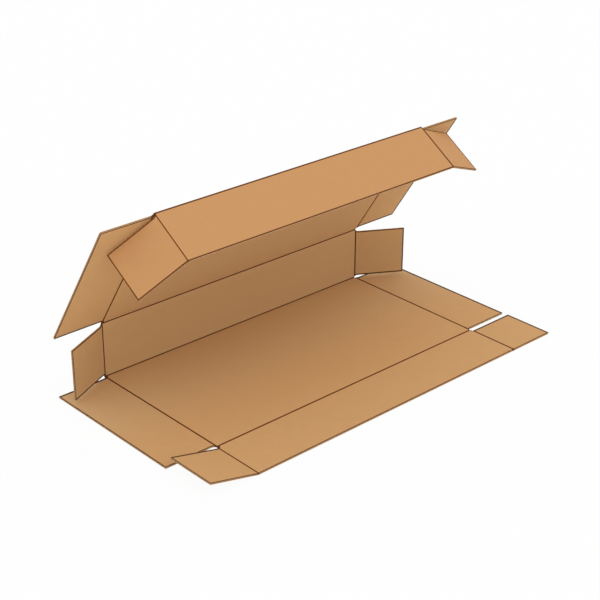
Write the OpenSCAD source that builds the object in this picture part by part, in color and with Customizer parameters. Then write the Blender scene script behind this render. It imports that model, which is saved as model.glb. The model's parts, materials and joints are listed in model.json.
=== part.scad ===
// Five-panel folder carton, cut and creased from one sheet of corrugated board.
// It stands open: the base lies flat, the back wall is up, the lid leans over the
// tray with its tuck panel folded, and the front panel still lies on the ground.
//
// Frame: millimetres, Z up, X along the box, front towards -Y, origin at the
// centre of the base panel's underside.
//
// Panel frame: every panel is drawn flat, on the middle of the board's thickness.
// Its near crease runs along X through the origin, the panel reaches towards +Y,
// and +Z is the inner face. A bend turns the panel about that crease, inner faces
// towards each other.

/* [Box] */
// Length of the base between its end creases
box_length = 600; // [240:5:900]
// Depth of the base, front crease to back crease
box_depth = 305; // [160:5:600]
// Height of the back wall, base crease to lid crease
box_height = 105; // [50:1:250]
// Thickness of the corrugated board
board = 3; // [1.6:0.2:4.4]

/* [End flaps and slots] */
// Length of every end flap, crease to free edge
end_flap = 98; // [30:1:140]
// Width of the slots that part neighbouring end flaps
slot_width = 11.4; // [8:0.2:16]

/* [Closing allowances] */
// Gap between the tuck panel and the front panel when the box is shut
tuck_gap = 3; // [0.5:0.5:6]
// Height by which the tuck panel stays above the base crease when shut
tuck_rise = 7; // [6:0.5:20]
// Height by which the front panel stays below the lid crease when shut
front_drop = 2; // [1.8:0.1:6]
// Gap between the end flaps of the front and tuck panels when shut
nest_gap = 0.3; // [0.2:0.1:1]

/* [Creases] */
// Clearance round the rolled bead that a crease turns on
crease_gap = 0.1; // [0.05:0.01:0.2]

/* [Folds as they stand] */
// Bend of the lid from the back wall
lid_bend = 33; // [0:1:90]
// Bend of the tuck panel from the lid
tuck_bend = 90; // [0:1:90]
// Bend of the front panel from the base
front_bend = 0; // [0:1:90]
// Bend of the front panel's left end flap
front_left_bend = 14; // [0:1:90]
// Bend of the front panel's right end flap
front_right_bend = 0; // [0:1:90]
// Bend of the back wall's left end flap
back_left_bend = 25; // [0:1:90]
// Bend of the back wall's right end flap
back_right_bend = 31; // [0:1:90]
// Bend of the tuck panel's left end flap
tuck_left_bend = 45; // [0:1:90]
// Bend of the tuck panel's right end flap
tuck_right_bend = 25; // [0:1:90]

/* [Hidden] */

// Left and right ends, as signs of X
LEFT = -1;
RIGHT = 1;

// Fold between the base and the back wall, which stays square
wall_bend = 90;

// Panel sizes that follow from the box
half_board = board / 2;
lid_depth = box_depth - board - tuck_gap;
tuck_height = box_height - tuck_rise;
front_height = box_height - front_drop;

// The end creases step outwards from tuck panel to base to front panel, so that
// the shut box's end flaps lie side by side
nest_step = (board + nest_gap) / 2;
front_length = box_length + 2 * nest_step;
tuck_length = box_length - 2 * nest_step;

// Slots have round inner ends that touch the inner one of the two end creases
slot_radius = slot_width / 2;
slot_end = box_length / 2;
tuck_slot_end = tuck_length / 2;
slot_run = end_flap + slot_width;

// Shift that keeps the mitre faces of a crease apart when it is shut
mitre_gap = crease_gap * sqrt(2);
seat_radius = half_board + crease_gap;
// Cutters run past the board by this much
over = 1;
// Sides of a full circle, for slot ends and beads
round_sides = 48;

kraft_inner = [0.79, 0.60, 0.40];
kraft_outer = [0.76, 0.57, 0.37];

// How far along an end crease a slot's round end keeps the bead back
function slot_reach(past) =
    past <= 0 ? 0
    : past >= slot_radius ? slot_radius
    : sqrt(pow(slot_radius, 2) - pow(slot_radius - past, 2));

// Board of even thickness over a flat outline
module sheet()
    translate([0, 0, -half_board])
        linear_extrude(board)
            children();

// Flat outline of a panel, centred on its crease
module panel_outline(length, width)
    translate([-length / 2, 0])
        square([length, width]);

// Flat outline of the two slots that meet a crease at height y
module slot_pair(y, inner_end)
    for (side = [LEFT, RIGHT])
        mirror([side == LEFT ? 1 : 0, 0])
            translate([inner_end + slot_radius, y]) {
                circle(r = slot_radius, $fn = round_sides);
                translate([0, -slot_radius])
                    square([slot_run, slot_width]);
            }

// Turns a profile drawn across a crease into a bar along X, centred
module along_crease(length)
    rotate([90, 0, 90])
        translate([0, 0, -length / 2])
            linear_extrude(length)
                children();

// V-shaped score across the inner face, with its root on the crease axis
module score_profile()
    polygon([[0, 0], [board, board], [-board, board]]);

module score_cut(length)
    along_crease(length)
        score_profile();

// Rolled bead that the parent panel ends in, open where the score is
module crease_bead(length)
    along_crease(length)
        difference() {
            circle(r = half_board, $fn = round_sides);
            score_profile();
        }

// Outside of a fold that stays square: the board rolls round the crease axis
module round_bead(length)
    along_crease(length)
        circle(r = half_board, $fn = round_sides);

// What the child panel gives up at its root: the seat round the bead and a mitre
module seat_cut(length) {
    along_crease(length)
        circle(r = seat_radius, $fn = round_sides);
    translate([0, mitre_gap, 0])
        score_cut(length);
}

// Places children on a panel's end crease, outwards along +Y, and turns them by
// the end flap's bend; the crease runs along X, positive X towards the near crease
module at_end(side, length, bend = 0)
    mirror([side == LEFT ? 1 : 0, 0, 0])
        translate([length / 2, 0, 0])
            rotate([0, 0, -90])
                rotate([bend, 0, 0])
                    children();

// Beads of both end creases of a panel, between the given heights
module end_beads(length, low, high)
    for (side = [LEFT, RIGHT])
        at_end(side, length)
            translate([-(low + high) / 2, 0, 0])
                crease_bead(high - low);

// Scores of both end creases, right through the panel's width
module end_scores(length, width)
    for (side = [LEFT, RIGHT])
        at_end(side, length)
            translate([-width / 2, 0, 0])
                score_cut(width + 2 * over);

// End flap that turns on its panel's bead. The slot at its near edge is always
// there, and the one at its far edge only where a neighbour follows.
module hinged_end_flap(side, length, width, inner_end, far_slot, bend)
    at_end(side, length, bend)
        difference() {
            sheet()
                difference() {
                    translate([-width, 0])
                        square([width, end_flap]);
                    for (x = far_slot ? [0, -width] : [0])
                        translate([x, inner_end - length / 2 + slot_radius]) {
                            circle(r = slot_radius, $fn = round_sides);
                            translate([-slot_radius, 0])
                                square([slot_width, slot_run]);
                        }
                }
            translate([-width / 2, 0, 0])
                seat_cut(width + 2 * over);
        }

// Places, panel by panel along the sheet
module at_base_back()
    translate([0, box_depth / 2, half_board])
        rotate([wall_bend, 0, 0])
            children();

module at_lid()
    at_base_back()
        translate([0, box_height, 0])
            rotate([lid_bend, 0, 0])
                children();

module at_tuck()
    at_lid()
        translate([0, lid_depth, 0])
            rotate([tuck_bend, 0, 0])
                children();

module at_front()
    translate([0, -box_depth / 2, half_board])
        mirror([0, 1, 0])
            rotate([front_bend, 0, 0])
                children();

// Base with its two end flaps, between the front and back creases
module base_sheet()
    translate([0, -box_depth / 2, half_board])
        difference() {
            union() {
                sheet()
                    difference() {
                        panel_outline(box_length + 2 * end_flap, box_depth);
                        slot_pair(0, slot_end);
                        slot_pair(box_depth, slot_end);
                    }
                crease_bead(box_length);
            }
            score_cut(box_length);
            end_scores(box_length, box_depth);
        }

// Back wall, from the square fold up to the bead that the lid turns on
module back_wall()
    at_base_back()
        difference() {
            union() {
                sheet()
                    difference() {
                        panel_outline(box_length, box_height);
                        slot_pair(0, slot_end);
                        slot_pair(box_height, slot_end);
                    }
                round_bead(box_length);
                translate([0, box_height, 0])
                    crease_bead(box_length);
                end_beads(
                    box_length,
                    slot_reach(half_board),
                    box_height - slot_reach(half_board)
                );
            }
            translate([0, box_height, 0])
                score_cut(box_length);
            end_scores(box_length, box_height);
        }

module base_and_back_wall()
    color(kraft_inner)
        union() {
            base_sheet();
            back_wall();
        }

module back_left_flap()
    color(kraft_inner)
        at_base_back()
            hinged_end_flap(LEFT, box_length, box_height, slot_end, true, back_left_bend);

module back_right_flap()
    color(kraft_inner)
        at_base_back()
            hinged_end_flap(RIGHT, box_length, box_height, slot_end, true, back_right_bend);

module front_panel()
    color(kraft_inner)
        at_front()
            difference() {
                union() {
                    sheet()
                        difference() {
                            panel_outline(front_length, front_height);
                            slot_pair(0, slot_end);
                        }
                    end_beads(front_length, slot_reach(nest_step + half_board), front_height);
                }
                seat_cut(front_length);
                end_scores(front_length, front_height);
            }

module front_left_flap()
    color(kraft_inner)
        at_front()
            hinged_end_flap(LEFT, front_length, front_height, slot_end, false, front_left_bend);

module front_right_flap()
    color(kraft_inner)
        at_front()
            hinged_end_flap(RIGHT, front_length, front_height, slot_end, false, front_right_bend);

// Lid with its two end flaps, and the bead that the tuck panel turns on
module lid()
    color(kraft_outer)
        at_lid()
            difference() {
                union() {
                    sheet()
                        difference() {
                            panel_outline(box_length + 2 * end_flap, lid_depth);
                            slot_pair(0, slot_end);
                            slot_pair(lid_depth, tuck_slot_end);
                        }
                    translate([0, lid_depth, 0])
                        crease_bead(tuck_length);
                }
                seat_cut(box_length + 2 * over);
                translate([0, lid_depth, 0])
                    score_cut(tuck_length);
                end_scores(box_length, lid_depth);
            }

module tuck_panel()
    color(kraft_outer)
        at_tuck()
            difference() {
                union() {
                    sheet()
                        difference() {
                            panel_outline(tuck_length, tuck_height);
                            slot_pair(0, tuck_slot_end);
                        }
                    end_beads(tuck_length, slot_reach(half_board), tuck_height);
                }
                seat_cut(tuck_length);
                end_scores(tuck_length, tuck_height);
            }

module tuck_left_flap()
    color(kraft_outer)
        at_tuck()
            hinged_end_flap(LEFT, tuck_length, tuck_height, tuck_slot_end, false, tuck_left_bend);

module tuck_right_flap()
    color(kraft_outer)
        at_tuck()
            hinged_end_flap(RIGHT, tuck_length, tuck_height, tuck_slot_end, false, tuck_right_bend);

base_and_back_wall();
back_left_flap();
back_right_flap();
front_panel();
front_left_flap();
front_right_flap();
lid();
tuck_panel();
tuck_left_flap();
tuck_right_flap();
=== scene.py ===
"""Looks of a five-panel folder carton of corrugated kraft board, standing open.

The carton is cut and creased from one sheet. Every surface is worked out on the flat
sheet and then folded up, so that panels, creases and slots line up by themselves.

Sheet coordinates, in metres: x runs along the box, s runs across the panels and w
runs through the board. The front panel lies below s = 0, then come base, back wall,
lid and tuck panel. The middle of the board is w = 0, and w is positive on the inner
face. The flutes run along x.
"""

import json
import math
from collections import namedtuple

import bpy
import numpy as np
from mathutils import Matrix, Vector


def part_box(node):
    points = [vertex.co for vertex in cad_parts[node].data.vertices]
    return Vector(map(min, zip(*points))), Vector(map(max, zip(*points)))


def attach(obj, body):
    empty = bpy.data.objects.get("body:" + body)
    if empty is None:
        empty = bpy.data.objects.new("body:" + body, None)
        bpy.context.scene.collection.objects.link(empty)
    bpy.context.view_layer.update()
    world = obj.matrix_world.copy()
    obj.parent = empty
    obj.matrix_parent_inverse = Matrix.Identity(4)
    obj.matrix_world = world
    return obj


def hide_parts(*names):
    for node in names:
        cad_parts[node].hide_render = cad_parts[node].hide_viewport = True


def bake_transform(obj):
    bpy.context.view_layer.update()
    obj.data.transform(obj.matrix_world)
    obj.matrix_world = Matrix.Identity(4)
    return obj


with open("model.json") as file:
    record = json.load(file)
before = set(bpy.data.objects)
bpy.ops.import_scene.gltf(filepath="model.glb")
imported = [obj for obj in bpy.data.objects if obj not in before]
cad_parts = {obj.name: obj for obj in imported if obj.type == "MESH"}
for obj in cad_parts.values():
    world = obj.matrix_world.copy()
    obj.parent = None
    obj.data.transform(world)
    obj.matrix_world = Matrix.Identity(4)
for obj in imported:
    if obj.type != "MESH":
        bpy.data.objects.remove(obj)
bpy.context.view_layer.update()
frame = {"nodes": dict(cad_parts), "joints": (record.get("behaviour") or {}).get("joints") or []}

MM = 0.001

# Sizes and rest angles, from the frame's creases
CREASES = {joint["name"]: joint for joint in frame["joints"]}


def crease_place(name):
    """Middle of a hinged crease, where its joint is."""
    return np.array(CREASES[name + "_crease"]["pos_m"])


def rest_bend(name):
    """Angle by which a crease is bent at rest: its range starts where the sheet is flat."""
    return -math.radians(CREASES[name + "_crease"]["range_deg"][0])


HALF_BOARD = crease_place("front_panel")[2]
DEPTH = 2 * crease_place("lid")[1]
HEIGHT = crease_place("lid")[2] - HALF_BOARD
LID_DEPTH = np.linalg.norm(crease_place("tuck_panel") - crease_place("lid"))
FRONT_HEIGHT = 2 * (crease_place("front_panel") - crease_place("front_left_flap"))[1]
TUCK_HEIGHT = 2 * np.linalg.norm(
    (crease_place("tuck_panel") - crease_place("tuck_left_flap"))[1:]
)
FRONT_END = crease_place("front_right_flap")[0]
BODY_END = crease_place("back_right_flap")[0]
TUCK_END = crease_place("tuck_right_flap")[0]
END_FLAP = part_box("base_and_back_wall")[1].x - BODY_END
SLOT_RADIUS = 5.7 * MM

# Places of the long creases on the sheet
FRONT_CREASE = 0.0
BACK_FOLD = DEPTH
LID_CREASE = BACK_FOLD + HEIGHT
TUCK_CREASE = LID_CREASE + LID_DEPTH
FRONT_EDGE = FRONT_CREASE - FRONT_HEIGHT
TUCK_EDGE = TUCK_CREASE + TUCK_HEIGHT

# The board: two liners, and between them the medium, whose flutes are waves of this
# pitch with this many grid lines to each
LINER = 0.35 * MM
MEDIUM = 0.25 * MM
FLUTE_PITCH = 6.5 * MM
FLUTE_STEPS = 8
# The medium has this much play to both liners. Its grid has a line this far inside each
# cut edge, and it keeps the triangles whose centre is at least MEDIUM_EDGE inside
MEDIUM_PLAY = 0.02 * MM
MEDIUM_INSET = 0.5 * MM
MEDIUM_EDGE = 0.45 * MM

# A crease bends within this distance of its line, and its groove is pressed this deep
# into the inner and the outer face
CREASE = 2.0 * MM
INNER_GROOVE = 1.1 * MM
OUTER_GROOVE = 0.25 * MM
# Crushed paper, darkened further as painted shade, is dark up to this far from a left and a
# right end crease, on each face
OUTER_MARKS = (0.75 * MM, 1.9 * MM)
INNER_MARKS = (1.65 * MM, 1.85 * MM)
# Distance from a crease at which from_crease stops growing, in widths of its mark
MARK_REACH = 1.5
# A hinged piece starts this far before its crease, on the panel that carries it
SEAM = 4.0 * MM

# The die presses the board together along its cut edges
PINCH = 0.15 * MM
PINCH_REACH = 3.2 * MM
# The paper is dark up to this far from the front and the tuck panel's long edges and
# from every left end; each panel has its own width on the right
FRONT_RIM = 2.1 * MM
TUCK_RIM = 2.6 * MM
LEFT_RIM = 2.0 * MM

# A liner's grid has lines at these offsets across a crease and inside a cut edge, and
# lines closer together than LEAST_STEP become one
BAND = np.arange(-3.0, 3.1, 0.5) * MM
RIM_STEPS = np.arange(0.0, 6.0, 0.8) * MM
LEAST_STEP = 0.001 * MM
# Faces that meet at a sharper angle than this are shaded with an edge, in degrees
SHARP_ANGLE = 40

# The five panels: their range of s, the reach of their end creases, the width of the
# dark rim at their right end, and their hinged end flaps with the bends at rest
Panel = namedtuple("Panel", "node low high end_crease right_rim left right left_bend right_bend")
PANELS = (
    Panel("front_panel", FRONT_EDGE, FRONT_CREASE, FRONT_END, 4.8 * MM,
          "front_left_flap", "front_right_flap",
          rest_bend("front_left_flap"), rest_bend("front_right_flap")),
    Panel("base_and_back_wall", FRONT_CREASE, BACK_FOLD, BODY_END, 5.2 * MM, None, None, 0, 0),
    Panel("base_and_back_wall", BACK_FOLD, LID_CREASE, BODY_END, 2.8 * MM,
          "back_left_flap", "back_right_flap",
          rest_bend("back_left_flap"), rest_bend("back_right_flap")),
    Panel("lid", LID_CREASE, TUCK_CREASE, BODY_END, 4.4 * MM, None, None, 0, 0),
    Panel("tuck_panel", TUCK_CREASE, TUCK_EDGE, TUCK_END, 5.6 * MM,
          "tuck_left_flap", "tuck_right_flap",
          rest_bend("tuck_left_flap"), rest_bend("tuck_right_flap")),
)

# Each pair of slots: the long crease that it lies on, where its round inner ends touch,
# and how far the paper is dark from the crease and from the slot's edges on both sides
Slot = namedtuple("Slot", "crease end mark below above")
SLOTS = (
    Slot(FRONT_CREASE, BODY_END, 1.8 * MM, 4.4 * MM, 2.2 * MM),
    Slot(BACK_FOLD, BODY_END, 3.0 * MM, 5.2 * MM, 3.2 * MM),
    Slot(LID_CREASE, BODY_END, 2.0 * MM, 2.2 * MM, 5.2 * MM),
    Slot(TUCK_CREASE, TUCK_END, 2.2 * MM, 2.8 * MM, 2.1 * MM),
)

# Long creases that a hinged panel turns on: the panel, its crease, the side that it lies
# on and the reach of its strip before the crease
Hinge = namedtuple("Hinge", "node crease side end")
HINGES = (
    Hinge("front_panel", FRONT_CREASE, -1, BODY_END),
    Hinge("lid", LID_CREASE, 1, BODY_END),
    Hinge("tuck_panel", TUCK_CREASE, 1, TUCK_END),
)
NODES = sorted(frame["nodes"])


def smoothstep(t):
    """3t^2 - 2t^3 with t held between 0 and 1."""
    t = np.clip(t, 0, 1)
    return t * t * (3 - 2 * t)


def fold(past, up, bend):
    """Turns points about a crease on the middle of the board.

    past is the distance beyond the crease and up the height above the middle. The
    angle a grows by a smoothstep from 0 to bend across the crease's width, and a
    point goes to (past cos a - up sin a, past sin a + up cos a).
    """
    angle = bend * smoothstep(past / (2 * CREASE) + 0.5)
    turned = past * np.cos(angle) - up * np.sin(angle)
    return turned, past * np.sin(angle) + up * np.cos(angle)


def folded(sheet):
    """Folds points (x, s, w) of the flat sheet up into the standing box.

    The end flaps are folded first, each on its panel's end crease, then the tuck
    panel, the lid, the back wall and the front panel on the long creases.
    """
    x, s, w = np.array(sheet, float).reshape(-1, 3).T
    for panel in PANELS:
        for side, bend in ((-1, panel.left_bend), (1, panel.right_bend)):
            here = (s >= panel.low) & (s <= panel.high) & (np.sign(x) == side)
            past, up = fold(np.abs(x) - panel.end_crease, w, bend)
            x = np.where(here, side * (panel.end_crease + past), x)
            w = np.where(here, up, w)
    for crease, bend in (
        (TUCK_CREASE, rest_bend("tuck_panel")),
        (LID_CREASE, rest_bend("lid")),
        (BACK_FOLD, math.pi / 2),
    ):
        past, w = fold(s - crease, w, bend)
        s = crease + past
    past, w = fold(FRONT_CREASE - s, w, rest_bend("front_panel"))
    s = FRONT_CREASE - past
    return np.stack([x, s - DEPTH / 2, w + HALF_BOARD], 1)


def owner(x, s):
    """Index in NODES of the piece that holds each point of the sheet, or -1 in a slot.

    A panel reaches from crease to crease. A hinged piece also takes the strip of
    width SEAM before its crease, but the strips stop short of each other at a slot.
    All that bends with a long crease goes to the panel that turns on it.
    """
    piece = np.full(x.shape, -1)
    reach = np.abs(x)
    from_slots = np.min([np.abs(s - slot.crease) for slot in SLOTS], 0)
    for panel in PANELS:
        here = (s > panel.low) & (s < panel.high)
        piece[here] = NODES.index(panel.node)
        if panel.left:
            seam = np.where(from_slots > SEAM, panel.end_crease - SEAM, panel.end_crease)
            piece[here & (reach > seam) & (x < 0)] = NODES.index(panel.left)
            piece[here & (reach > seam) & (x > 0)] = NODES.index(panel.right)
    for hinge in HINGES:
        before = hinge.side * (hinge.crease - s)
        strip = (before > 0) & (before < SEAM) & (reach < hinge.end)
        bent = (np.abs(before) < CREASE) & (reach < hinge.end + SEAM)
        piece[strip | bent] = NODES.index(hinge.node)
    piece[edge_distance(x, s) <= 0] = -1
    return piece


def cut_edges(x, s):
    """For each cut edge, the distance of each point from it and the width of its rim.

    Distances are below 0 beyond the edge. A slot is all that lies within
    SLOT_RADIUS of a line from the centre of its round end outwards.
    """
    reach = np.abs(x)
    edges = [(s - FRONT_EDGE, FRONT_RIM), (TUCK_EDGE - s, TUCK_RIM)]
    for panel in PANELS:
        here = (s >= panel.low) & (s <= panel.high)
        distance = np.where(here, panel.end_crease + END_FLAP - reach, np.inf)
        edges.append((distance, np.where(x < 0, LEFT_RIM, panel.right_rim)))
    for slot in SLOTS:
        short = np.maximum(slot.end + SLOT_RADIUS - reach, 0)
        distance = np.hypot(short, s - slot.crease) - SLOT_RADIUS
        edges.append((distance, np.where(s < slot.crease, slot.below, slot.above)))
    return edges


def edge_distance(x, s):
    """Distance from each point of the sheet to the nearest cut edge."""
    return np.min([distance for distance, _ in cut_edges(x, s)], 0)


def rim_distance(x, s):
    """Distance to the nearest cut edge, in widths of that edge's rim."""
    return np.min([distance / width for distance, width in cut_edges(x, s)], 0)


def crease_distance(x, s, long_widths, end_widths):
    """Distance to the nearest crease, in widths of that crease.

    The end creases have one width on the left and one on the right.
    """
    distance = np.min([
        np.abs(s - slot.crease) / width for slot, width in zip(SLOTS, long_widths)
    ], 0)
    for panel in PANELS:
        here = (s >= panel.low) & (s <= panel.high)
        across = np.abs(np.abs(x) - panel.end_crease) / np.where(x < 0, *end_widths)
        distance = np.where(here, np.minimum(distance, across), distance)
    return distance


def groove(x, s):
    """Depth of the pressed creases, from 0 to 1: cos^2 across each crease's width."""
    distance = crease_distance(x, s, [CREASE] * len(SLOTS), (CREASE, CREASE))
    return np.cos(np.pi / 2 * np.minimum(distance, 1)) ** 2


def faces_of_board(x, s):
    """Heights of the outer and inner face, with the grooves and the pinched rims.

    The pinch falls off as (1 - d / PINCH_REACH)^2 with the distance d from a cut edge.
    """
    pinch = PINCH * np.clip(1 - edge_distance(x, s) / PINCH_REACH, 0, 1) ** 2
    depth = groove(x, s)
    outer = -HALF_BOARD + pinch + OUTER_GROOVE * depth
    inner = HALF_BOARD - pinch - INNER_GROOVE * depth
    return outer, inner


def between(low, high, *groups):
    """Grid lines from low to high, with each wanted place that lies between them."""
    places = np.concatenate([np.ravel(group) for group in groups])
    places = places[(places > low) & (places < high)]
    places = np.sort(np.concatenate([[low, high], places]))
    return places[np.diff(places, prepend=-np.inf) > LEAST_STEP]


# Heights over a slot's middle line at which its round end has a point
ARC_HEIGHTS = np.concatenate([
    BAND[BAND >= 0], [SEAM], SLOT_RADIUS * np.sin(np.radians([60, 75, 90]))
])


def slot_columns(slot):
    """Reaches at which a slot's round end meets ARC_HEIGHTS: end + r - sqrt(r^2 - h^2)."""
    return slot.end + SLOT_RADIUS - np.sqrt(SLOT_RADIUS**2 - ARC_HEIGHTS**2)


def slot_rows(slot, columns):
    """Rows at which a slot's round end meets the grid's columns: crease +- sqrt(r^2 - d^2)."""
    short = slot.end + SLOT_RADIUS - np.abs(columns)
    short = short[(short >= 0) & (short <= SLOT_RADIUS)]
    heights = np.sqrt(SLOT_RADIUS**2 - short**2)
    return np.concatenate([slot.crease - heights, slot.crease + heights])


def grid_columns(left, right, low, high):
    """Columns of a liner's grid: end creases, seams, rims and the slots' round ends."""
    reaches = []
    for panel in PANELS:
        if panel.high > low and panel.low < high:
            reaches += [panel.end_crease + BAND, [panel.end_crease - SEAM]]
            reaches += [panel.end_crease + END_FLAP - RIM_STEPS]
    for slot in SLOTS:
        if low <= slot.crease <= high:
            reaches += [slot_columns(slot), slot.end - RIM_STEPS]
    reaches = np.concatenate(reaches)
    return between(left, right, -reaches, reaches)


def grid_rows(low, high, columns):
    """Rows of a liner's grid: long creases, seams, rims and the slots' round ends."""
    rows = [FRONT_EDGE + RIM_STEPS, TUCK_EDGE - RIM_STEPS]
    for slot in SLOTS:
        rims = SLOT_RADIUS + RIM_STEPS
        rows += [slot.crease + BAND, [slot.crease - SEAM, slot.crease + SEAM]]
        rows += [slot.crease - rims, slot.crease + rims]
        if low <= slot.crease <= high:
            rows += [slot_rows(slot, columns)]
    return between(low, high, *rows)


def flute_columns(left, right, low, high):
    """Columns of the medium's grid: end creases, seams and the cut edges."""
    reaches = [[slot.end, slot.end + SLOT_RADIUS] for slot in SLOTS]
    for panel in PANELS:
        if panel.high > low and panel.low < high:
            reaches += [panel.end_crease + BAND, [panel.end_crease - SEAM]]
            reaches += [[panel.end_crease + END_FLAP - MEDIUM_INSET]]
    reaches = np.concatenate(reaches)
    return between(left, right, -reaches, reaches)


def flute_rows(low, high):
    """Rows of the medium's grid: FLUTE_STEPS to a wave, with creases and cut edges."""
    waves = np.arange(low, high, FLUTE_PITCH / FLUTE_STEPS)
    edges = [FRONT_EDGE + MEDIUM_INSET, TUCK_EDGE - MEDIUM_INSET]
    creases = [slot.crease + BAND for slot in SLOTS]
    sides = [
        slot.crease + side * offset
        for slot in SLOTS
        for side in (-1, 1)
        for offset in (SEAM, SLOT_RADIUS + MEDIUM_INSET)
    ]
    return between(low, high, waves, edges, *creases, sides)


def flat_mesh(columns, rows, node, inset=0):
    """Points (x, s) and triangles of one piece, flat on the sheet.

    The grid's cells, with the corners a, b, c and d, are halved along the diagonal that
    follows the nearest slot's round end. A half belongs to the piece that owns its
    centre, if that lies farther than the inset from every cut edge.
    """
    x, s = np.meshgrid(columns, rows, indexing="ij")
    points = np.stack([x.ravel(), s.ravel()], 1)
    index = np.arange(x.size).reshape(x.shape)
    a, b = index[:-1, :-1].ravel(), index[1:, :-1].ravel()
    c, d = index[1:, 1:].ravel(), index[:-1, 1:].ravel()
    centre = (points[a] + points[c]) / 2
    creases = np.array([slot.crease for slot in SLOTS])
    offsets = centre[:, 1:] - creases
    nearest = np.take_along_axis(offsets, np.abs(offsets).argmin(1)[:, None], 1)[:, 0]
    rising = (nearest * centre[:, 0] > 0)[:, None]
    halves = np.where(
        rising, np.stack([a, b, c, a, c, d], 1), np.stack([a, b, d, b, c, d], 1)
    ).reshape(-1, 3)
    x, s = points[halves].mean(1).T
    kept = (owner(x, s) == NODES.index(node)) & (edge_distance(x, s) > inset)
    used, halves = np.unique(halves[kept], return_inverse=True)
    return points[used], halves.reshape(-1, 3)


def shell(points, triangles, low, high):
    """Closed shell between the heights low and high over a flat mesh.

    The upper skin keeps the triangles, the lower one turns them over, and a wall
    stands on each edge that only one triangle uses. Returns the corners, and the
    triangles as lower skin, upper skin and walls.
    """
    count = len(points)
    edges = np.concatenate([triangles[:, [0, 1]], triangles[:, [1, 2]], triangles[:, [2, 0]]])
    keys = np.sort(edges, 1) @ [count, 1]
    first, uses = np.unique(keys, return_index=True, return_counts=True)[1:]
    start, end = edges[first[uses == 1]].T
    corners = np.concatenate([
        np.column_stack([points, low]), np.column_stack([points, high])
    ])
    walls = np.concatenate([
        np.stack([start, end, end + count], 1),
        np.stack([start, end + count, start + count], 1),
    ])
    return corners, (triangles[:, ::-1], triangles + count, walls)


def board_shells(node, left, right, low, high):
    """Outer liner, inner liner and medium of one piece, as closed shells on the sheet.

    The medium swings between the liners as sin(2 pi s / FLUTE_PITCH).
    """
    columns = grid_columns(left, right, low, high)
    points, triangles = flat_mesh(columns, grid_rows(low, high, columns), node)
    outer, inner = faces_of_board(*points.T)
    outer_liner = shell(points, triangles, outer, outer + LINER)
    inner_liner = shell(points, triangles, inner - LINER, inner)
    columns = flute_columns(left, right, low, high)
    points, triangles = flat_mesh(columns, flute_rows(low, high), node, MEDIUM_EDGE)
    outer, inner = faces_of_board(*points.T)
    floor, roof = outer + LINER + MEDIUM_PLAY, inner - LINER - MEDIUM_PLAY
    swing = (roof - floor - MEDIUM) / 2 * np.sin(2 * np.pi / FLUTE_PITCH * points[:, 1])
    middle = (floor + roof) / 2 + swing
    medium = shell(points, triangles, middle - MEDIUM / 2, middle + MEDIUM / 2)
    return outer_liner, inner_liner, medium


# Places of the board's two faces among a piece's groups of triangles, which are the
# lower skin, upper skin and walls of the outer liner, the inner liner and the medium
OUTER_FACE, INNER_FACE = 0, 4


def board_piece(node, left, right, low, high, material):
    """Makes one piece of board, from its range on the sheet, and folds it up.

    Its UV map "sheet" holds (x, s). Its points carry their distance from a cut edge
    and from a crease, in widths of the dark paper there. Its faces say whether they
    are the board's outer or inner face; the others are raw board within its thickness.
    """
    shells = board_shells(node, left, right, low, high)
    corners = [points for points, _ in shells]
    starts = np.cumsum([0] + [len(points) for points in corners])
    groups = [
        group + start
        for (_, shell_groups), start in zip(shells, starts)
        for group in shell_groups
    ]
    sheet = np.concatenate(corners)
    triangles = np.concatenate(groups)
    number = np.repeat(np.arange(len(groups)), [len(group) for group in groups])
    x, s, _ = sheet.T
    long_marks = [slot.mark for slot in SLOTS]
    marked = np.concatenate([
        crease_distance(*points[:, :2].T, long_marks, end_marks)
        for points, end_marks in zip(corners, (OUTER_MARKS, INNER_MARKS, INNER_MARKS))
    ])
    mesh = bpy.data.meshes.new(node + "_board")
    mesh.from_pydata(folded(sheet), [], triangles)
    mesh.uv_layers.new(name="sheet").data.foreach_set("uv", sheet[triangles.ravel(), :2].ravel())
    for name, domain, value in (
        ("from_edge", "POINT", np.clip(rim_distance(x, s), 0, 1)),
        ("from_crease", "POINT", np.minimum(marked, MARK_REACH)),
        ("outer_face", "FACE", (number == OUTER_FACE).astype(float)),
        ("inner_face", "FACE", (number == INNER_FACE).astype(float)),
    ):
        mesh.attributes.new(name, "FLOAT", domain).data.foreach_set("value", value)
    mesh.shade_smooth()
    mesh.set_sharp_from_angle(angle=math.radians(SHARP_ANGLE))
    mesh.materials.append(material)
    mesh.validate()
    piece = bpy.data.objects.new(mesh.name, mesh)
    bpy.context.scene.collection.objects.link(piece)
    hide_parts(node)
    return piece


class Link:
    """An output in a node tree. Sums and products of it add Math nodes."""

    def __init__(self, tree, socket):
        self.tree = tree
        self.socket = socket

    def math(self, operation, *others):
        """Math node with this output first."""
        inputs = dict(enumerate((self, *others)))
        return self.tree.add("Math", {"operation": operation}, inputs)

    def __add__(self, other):
        return self.math("ADD", other)

    def __sub__(self, other):
        return self.math("SUBTRACT", other)

    def __rsub__(self, other):
        return self * -1.0 + other

    def __mul__(self, other):
        return self.math("MULTIPLY", other)

    __radd__ = __add__
    __rmul__ = __mul__


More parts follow.
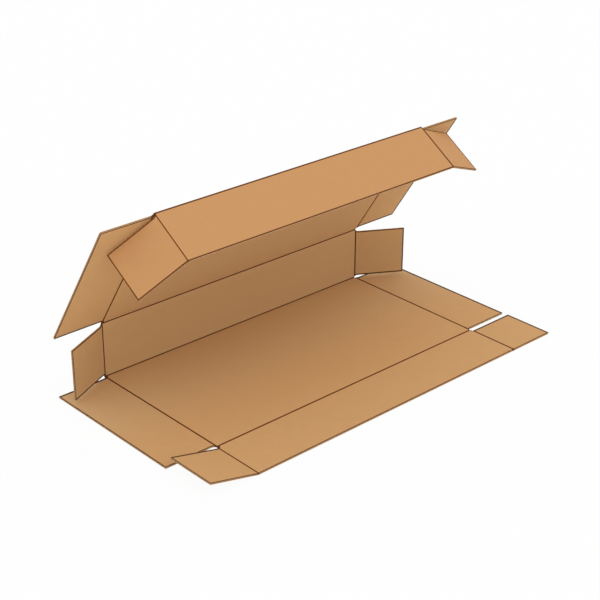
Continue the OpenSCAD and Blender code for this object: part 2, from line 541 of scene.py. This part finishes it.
class Tree:
    """A node tree that is built by expressions."""

    def __init__(self, holder):
        holder.use_nodes = True
        self.nodes = holder.node_tree.nodes
        self.links = holder.node_tree.links
        self.nodes.clear()

    def add(self, kind, settings=None, inputs=None, output=0):
        """Adds a node of a kind, with its settings and the values or links of its sockets."""
        node = self.nodes.new("ShaderNode" + kind)
        for name, value in (settings or {}).items():
            setattr(node, name, value)
        for key, value in (inputs or {}).items():
            if isinstance(value, Link):
                self.links.new(value.socket, node.inputs[key])
            else:
                node.inputs[key].default_value = value
        return Link(self, node.outputs[output]) if node.outputs else None

    def mix(self, factor, first, second):
        """Colour that goes from first to second as factor goes from 0 to 1.

        A Mix node's colours are its sockets 6 and 7, and its output 2.
        """
        inputs = {0: factor, 6: first, 7: second}
        return self.add("Mix", {"data_type": "RGBA"}, inputs, 2)

    def noise(self, vector, scale, detail, roughness=0.5):
        """Noise from 0 to 1, about 0.5 in the middle."""
        inputs = {"Vector": vector, "Scale": scale, "Detail": detail, "Roughness": roughness}
        return self.add("TexNoise", None, inputs)

    def grain(self, vector, fineness, detail):
        """Noise with its own fineness along each axis."""
        stretched = self.add("Mapping", None, {"Vector": vector, "Scale": fineness})
        return self.noise(stretched, 1, detail)

    def attribute(self, name):
        """Value that a mesh carries on its points or faces."""
        return self.add("Attribute", {"attribute_name": name}, None, "Fac")

    def ramp(self, value, low, high):
        """Smoothstep of a value from low to high."""
        inputs = {"Value": value, "From Min": low, "From Max": high}
        return self.add("MapRange", {"interpolation_type": "SMOOTHSTEP"}, inputs)


# Colours of the outer liner, the inner liner and the raw board at the cut edges
OUTER_KRAFT = (0.602, 0.309, 0.124, 1)
INNER_KRAFT = (0.650, 0.369, 0.156, 1)
RAW_KRAFT = (0.76, 0.50, 0.27, 1)

# The inner liner has painted shade and light: its colour turns from INNER_KRAFT to a greyer
# painted-shade colour between these places across the panels, where the box's inside lies in
# shade, and to a lighter, warmer painted-light colour at the lid's ends, which stand out of it
SHADE_GREY_KRAFT = (0.645, 0.404, 0.194, 1)
SHADE_GREY_FROM, SHADE_GREY_TO = 50 * MM, 220 * MM
# Painted light: the lid's ends stand out of the shade, so their inner paper is lighter and warmer
LID_END_LIGHT_KRAFT = (0.695, 0.408, 0.176, 1)
LID_LIGHT_FROM, LID_LIGHT_TO = LID_CREASE - 50 * MM, LID_CREASE + 40 * MM
LID_LIGHT_REACH = (BODY_END - 100 * MM, BODY_END + 60 * MM)
# Painted shade: on the back wall the inner liner turns to a darker colour, over this distance
# on both sides of the back wall's long creases
WALL_SHADE_KRAFT = (0.590, 0.357, 0.163, 1)
WALL_SHADE_FADE = 20 * MM

# Colour of the rims, and of the creases' marks, which are crushed paper darkened further as
# painted shade. On the tuck panel the rims turn to the creases' brown over this distance
RIM_BROWN = (0.090, 0.038, 0.010, 1)
CREASE_BROWN = (0.140, 0.035, 0.001, 1)
TUCK_FADE = 10 * MM
# Shares of their width between which the rims and the creases' marks fade out
RIM_FADE = (0.75, 1.00)
MARK_FADE = (0.75, 1.15)

# Fineness of the paper's patterns, in spots per metre along x and s
MOTTLE = 45
FIBRES = (1100, 120, 1)
DARK_FLECKS = (900, 420, 1)
PALE_FLECKS = (910, 338, 1)
# Levels of noise between which flecks appear
DARK_LEVELS = (0.68, 0.78)
PALE_LEVELS = (0.70, 0.80)
# Shares by which each pattern changes the paper's tone
MOTTLE_TONE = 0.06
FIBRE_TONE = 0.06
DARK_TONE = 0.08
PALE_TONE = 0.04
# The flutes' share of the tone is painted shade: faint stripes where the washboard over the flutes
# is shaded
FLUTE_SHADE_TONE = 0.004
# Heights of the relief, in millimetres, and the strength with which it shows
MOTTLE_RELIEF = 0.020
FIBRE_RELIEF = 0.012
FLUTE_RELIEF = 0.010
RELIEF_STRENGTH = 0.5


def kraft_board():
    """Kraft board: mottled paper with fibres along s and flecks, dark creases and rims.

    Its tone is 1 plus the share of each pattern, and the flutes add faint stripes of painted
    shade as sin(2 pi s / FLUTE_PITCH). The inner paper's painted shade and light and the dark
    widths are places on the sheet, so they look the same from every side.
    """
    material = bpy.data.materials.new("corrugated_kraft")
    tree = Tree(material)
    sheet = tree.add("UVMap", {"uv_map": "sheet"})
    reach = tree.add("SeparateXYZ", None, {0: sheet}, "X").math("ABSOLUTE")
    across = tree.add("SeparateXYZ", None, {0: sheet}, "Y")
    outer, inner = tree.attribute("outer_face"), tree.attribute("inner_face")

    mottle = tree.noise(sheet, MOTTLE, detail=4, roughness=0.6)
    fibres = tree.grain(sheet, FIBRES, detail=2)
    dark = tree.ramp(tree.grain(sheet, DARK_FLECKS, detail=1), *DARK_LEVELS)
    pale = tree.ramp(tree.grain(sheet, PALE_FLECKS, detail=1), *PALE_LEVELS)
    flutes = (across * (2 * math.pi / FLUTE_PITCH)).math("SINE")
    tone = 1.0 + (mottle - 0.5) * MOTTLE_TONE + (fibres - 0.5) * FIBRE_TONE
    # The flutes' stripes in the tone are painted shade; in the relief below they are real bumps
    tone = tone + pale * PALE_TONE - dark * DARK_TONE + flutes * FLUTE_SHADE_TONE

    # Painted shade: the inner paper turns greyer from the middle of the base on, where the inside
    # lies in shade
    inside = tree.ramp(across, SHADE_GREY_FROM, SHADE_GREY_TO)
    # Painted shade: the back wall's inner face is darker between these two ramps
    wall_shade_starts = tree.ramp(across, BACK_FOLD - WALL_SHADE_FADE, BACK_FOLD + WALL_SHADE_FADE)
    wall_shade_stops = tree.ramp(across, LID_CREASE - WALL_SHADE_FADE, LID_CREASE + WALL_SHADE_FADE)
    # Painted light on the lid's ends, which stand out of the shade
    lid_end_light = tree.ramp(across, LID_LIGHT_FROM, LID_LIGHT_TO) * tree.ramp(reach, *LID_LIGHT_REACH)
    inner_paper_and_painted_shade = tree.mix(inside, INNER_KRAFT, SHADE_GREY_KRAFT)
    inner_paper_and_painted_shade = tree.mix(wall_shade_starts - wall_shade_stops, inner_paper_and_painted_shade, WALL_SHADE_KRAFT)
    inner_paper_and_painted_shade = tree.mix(lid_end_light, inner_paper_and_painted_shade, LID_END_LIGHT_KRAFT)
    # The inner paper's colour here carries its painted shade and painted light
    paper = tree.mix(inner, tree.mix(outer, RAW_KRAFT, OUTER_KRAFT), inner_paper_and_painted_shade)
    colour = tree.add("VectorMath", {"operation": "SCALE"}, {0: paper, "Scale": tone})

    away = tree.ramp(tree.attribute("from_edge"), *RIM_FADE)
    on_tuck_panel = tree.ramp(across, TUCK_CREASE, TUCK_CREASE + TUCK_FADE)
    rim = tree.mix(on_tuck_panel, RIM_BROWN, CREASE_BROWN)
    colour = tree.mix((1 - away) * (outer + inner), colour, rim)
    # The creases' marks: crushed paper, darkened further as painted shade in the creases
    crease = 1 - tree.ramp(tree.attribute("from_crease"), *MARK_FADE)
    colour = tree.mix(crease, colour, CREASE_BROWN)

    relief = fibres * FIBRE_RELIEF + mottle * MOTTLE_RELIEF + flutes * FLUTE_RELIEF
    bump = {"Strength": RELIEF_STRENGTH, "Distance": MM, "Height": relief}
    normal = tree.add("Bump", None, bump)
    finish = {"Base Color": colour, "Roughness": 0.85, "Specular IOR Level": 0.25, "Normal": normal}
    surface = tree.add("BsdfPrincipled", None, finish)
    tree.add("OutputMaterial", None, {"Surface": surface})
    return material


def seen_directly(tree):
    """1 for rays that show the background: from the camera, or by gloss or glass."""
    camera, gloss, glass = (
        tree.add("LightPath", None, None, name)
        for name in ("Is Camera Ray", "Is Glossy Ray", "Is Transmission Ray")
    )
    return (camera + gloss + glass).math("MINIMUM", 1.0)


WHITE = (1, 1, 1, 1)

# The floor: its paint, the share of plain white that the camera sees over it, half its
# width in metres, and its height, which keeps it just clear of the board
FLOOR_PAINT = (0.9, 0.9, 0.9, 1)
FLOOR_LIFT = 0.95
FLOOR_HALF = 12.0
FLOOR_LEVEL = -0.1 * MM


def make_floor():
    """A white floor. The camera sees it lifted towards plain white, with the shadow kept."""
    material = bpy.data.materials.new("floor_white")
    tree = Tree(material)
    paint = tree.add("BsdfDiffuse", None, {"Color": FLOOR_PAINT})
    glow = tree.add("Emission", None, {"Color": WHITE, "Strength": 1.0})
    lift = seen_directly(tree) * FLOOR_LIFT
    shown = tree.add("MixShader", None, {0: lift, 1: paint, 2: glow})
    tree.add("OutputMaterial", None, {"Surface": shown})
    mesh = bpy.data.meshes.new("floor")
    corners = [
        (x * FLOOR_HALF, y * FLOOR_HALF, FLOOR_LEVEL)
        for x, y in ((-1, -1), (1, -1), (1, 1), (-1, 1))
    ]
    mesh.from_pydata(corners, [], [(0, 1, 2, 3)])
    mesh.materials.append(material)
    floor = bpy.data.objects.new("floor", mesh)
    bpy.context.scene.collection.objects.link(floor)


# Strength of the light from all sides, and of the key light, which comes from the
# front, left of the middle and from above; angles in degrees
ROOM_LIGHT = 0.86
KEY_LIGHT = 0.45
KEY_SPREAD = 50
KEY_AZIMUTH = -15
KEY_ELEVATION = 58


def make_light():
    """Even white light from all sides on a white background, and a very soft key light."""
    world = bpy.data.worlds.new("studio")
    bpy.context.scene.world = world
    tree = Tree(world)
    light = tree.add("Background", None, {"Color": WHITE, "Strength": ROOM_LIGHT})
    white = tree.add("Background", None, {"Color": WHITE, "Strength": 1.0})
    shown = tree.add("MixShader", None, {0: seen_directly(tree), 1: light, 2: white})
    tree.add("OutputWorld", None, {"Surface": shown})
    data = bpy.data.lights.new("key", "SUN")
    data.energy = KEY_LIGHT
    data.angle = math.radians(KEY_SPREAD)
    key = bpy.data.objects.new("key", data)
    key.rotation_euler = (math.radians(90 - KEY_ELEVATION), 0, math.radians(KEY_AZIMUTH))
    bpy.context.scene.collection.objects.link(key)


# The camera, in metres and degrees, and how far it sees; its lens and sensor are in
# millimetres
CAMERA_PLACE = (-1.5132, -1.6732, 1.2195)
CAMERA_AZIMUTH = -42.425
CAMERA_ELEVATION = 26.255
CAMERA_ROLL = 0.241
CAMERA_LENS = 86.34
CAMERA_SENSOR = 36
CAMERA_SIGHT = 100


def make_camera():
    """The camera, turned by azimuth and elevation, then rolled about its own line."""
    data = bpy.data.cameras.new("camera")
    data.lens = CAMERA_LENS
    data.sensor_width = CAMERA_SENSOR
    data.clip_end = CAMERA_SIGHT
    camera = bpy.data.objects.new("camera", data)
    bpy.context.scene.collection.objects.link(camera)
    bpy.context.scene.camera = camera
    turn = Matrix.Rotation(math.radians(CAMERA_AZIMUTH), 4, "Z")
    tilt = Matrix.Rotation(math.radians(90 - CAMERA_ELEVATION), 4, "X")
    roll = Matrix.Rotation(math.radians(CAMERA_ROLL), 4, "Z")
    camera.matrix_world = Matrix.Translation(CAMERA_PLACE) @ turn @ tilt @ roll


def make_carton():
    """All ten pieces: the base with the back wall, and nine that bend at their crease."""
    board = kraft_board()
    reach = BODY_END + END_FLAP
    tray = board_piece("base_and_back_wall", -reach, reach, FRONT_CREASE, LID_CREASE - SEAM, board)
    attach(tray, "tray")
    # Carrier, reach and range of s of each panel that turns on a long crease
    ranges = {
        "front_panel": ("tray", FRONT_END, FRONT_EDGE, FRONT_CREASE + SEAM),
        "lid": ("tray", reach, LID_CREASE - SEAM, TUCK_CREASE),
        "tuck_panel": ("lid", TUCK_END + SEAM, TUCK_CREASE - SEAM, TUCK_EDGE),
    }
    for hinge in HINGES:
        carrier, half, low, high = ranges[hinge.node]
        piece = board_piece(hinge.node, -half, half, low, high, board)
        before, after = folded([
            (0, hinge.crease - hinge.side * CREASE, 0), (0, hinge.crease + hinge.side * CREASE, 0)
        ])
        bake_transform(piece)
    for panel in PANELS:
        if not panel.left:
            continue
        carrier = "tray" if panel.node == "base_and_back_wall" else panel.node
        inner, outer = panel.end_crease - SEAM, panel.end_crease + END_FLAP
        for side, node in ((-1, panel.left), (1, panel.right)):
            left, right = sorted((side * inner, side * outer))
            piece = board_piece(node, left, right, panel.low, panel.high, board)
            middle = (panel.low + panel.high) / 2
            before, after = folded([
                (side * (panel.end_crease - CREASE), middle, 0),
                (side * (panel.end_crease + CREASE), middle, 0),
            ])
            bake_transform(piece)


make_camera()
make_light()
make_floor()
make_carton()
bpy.context.scene.view_settings.view_transform = "Standard"
